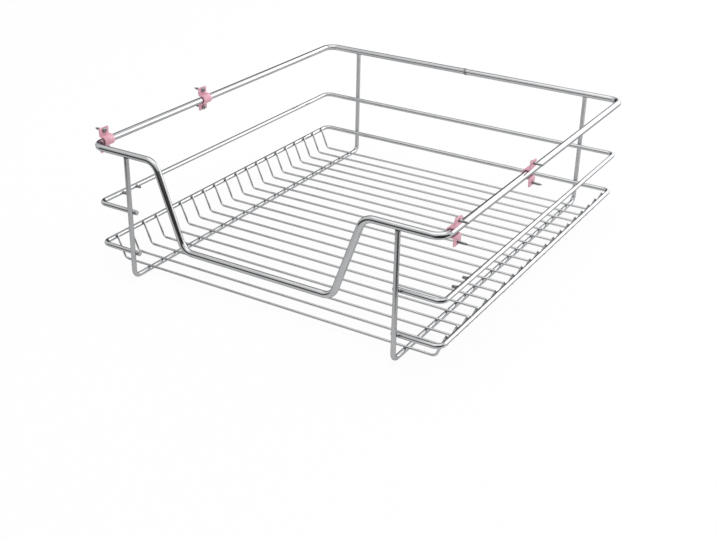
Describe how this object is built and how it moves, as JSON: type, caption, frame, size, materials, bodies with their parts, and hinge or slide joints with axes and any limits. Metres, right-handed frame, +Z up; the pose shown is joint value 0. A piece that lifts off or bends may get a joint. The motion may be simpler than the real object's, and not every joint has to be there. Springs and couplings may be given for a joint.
{
  "type": "pull out cabinet basket",
  "caption": "Shallow welded chrome wire basket with a dipped front, sliding on its rim wire in screwed plastic guide clips inside a kitchen cabinet.",
  "frame": {"origin": "under the middle of the basket, at the height of the undersides of the two U-shaped supports", "axes": "+X to the right, +Y to the rear of the cabinet (the basket is pulled out towards -Y), +Z up"},
  "size_m": [0.422, 0.448, 0.1495],
  "materials": {
    "chrome_wire": "polished",
    "guide_plastic": "satin",
    "screw_steel": "zinc plated"
  },
  "bodies": {
    "cabinet_guides": {"left_front_guide_clip": "guide_plastic", "left_front_guide_screws": "screw_steel", "left_rear_guide_clip": "guide_plastic", "left_rear_guide_screws": "screw_steel", "right_front_guide_clip": "guide_plastic", "right_front_guide_screws": "screw_steel", "right_rear_guide_clip": "guide_plastic", "right_rear_guide_screws": "screw_steel"},
    "basket": {"top_rim": "chrome_wire", "middle_frame": "chrome_wire", "lower_frame": "chrome_wire", "left_support": "chrome_wire", "right_support": "chrome_wire", "floor_wire_01": "chrome_wire", "floor_wire_02": "chrome_wire", "floor_wire_03": "chrome_wire", "floor_wire_04": "chrome_wire", "floor_wire_05": "chrome_wire", "floor_wire_06": "chrome_wire", "floor_wire_07": "chrome_wire", "floor_wire_08": "chrome_wire", "floor_wire_09": "chrome_wire", "floor_wire_10": "chrome_wire", "floor_wire_11": "chrome_wire", "floor_wire_12": "chrome_wire", "floor_wire_13": "chrome_wire", "floor_wire_14": "chrome_wire", "floor_wire_15": "chrome_wire", "floor_wire_16": "chrome_wire", "floor_wire_17": "chrome_wire", "floor_wire_18": "chrome_wire", "floor_wire_19": "chrome_wire", "floor_wire_20": "chrome_wire", "left_front_stud": "chrome_wire", "left_rear_stud": "chrome_wire", "right_front_stud": "chrome_wire", "right_rear_stud": "chrome_wire"}
  },
  "joints": [
    {"name": "basket_pull", "type": "slide", "parent": "cabinet_guides", "child": "basket", "axis": [0, -1, 0], "range_m": [0, 0.2414]}
  ]
}
